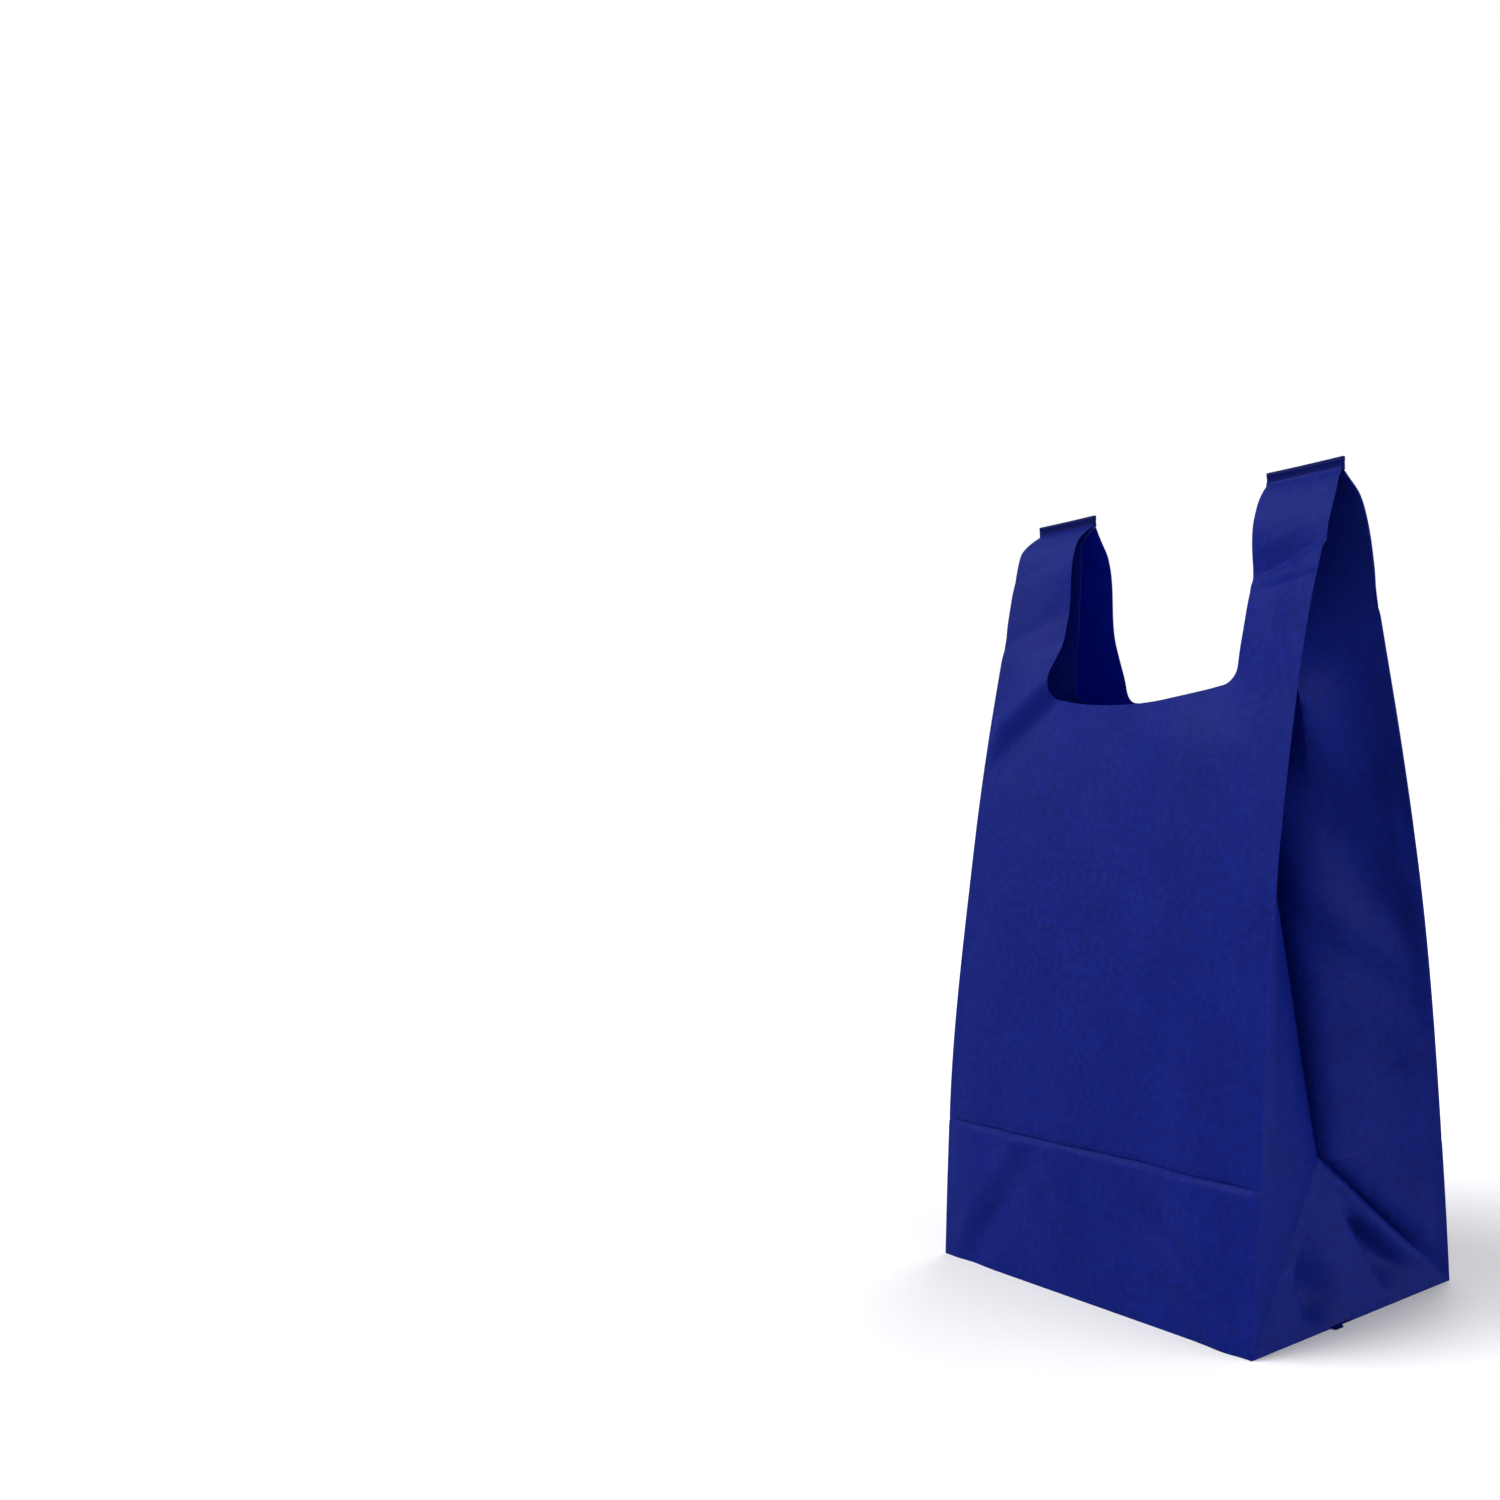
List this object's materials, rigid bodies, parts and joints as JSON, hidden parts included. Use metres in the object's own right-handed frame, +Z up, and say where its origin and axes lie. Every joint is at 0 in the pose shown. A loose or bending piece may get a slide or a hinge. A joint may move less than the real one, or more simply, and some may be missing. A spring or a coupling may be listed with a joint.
{
  "type": "non-woven t-shirt bag",
  "caption": "Plain blue non-woven carrier bag with side gussets, a block base and welded vest handles, standing open.",
  "frame": {"origin": "middle of the base, on the surface that the bag stands on", "axes": "+Z up to the handle tops, +X along the front panel to the side gusset on the bag's right, front panel towards -Y"},
  "size_m": [0.3056, 0.1986, 0.537],
  "materials": {
    "blue_non_woven": "matt spunbond polypropylene, dyed deep blue"
  },
  "bodies": {
    "root": {"bag": "blue_non_woven"}
  },
  "joints": []
}
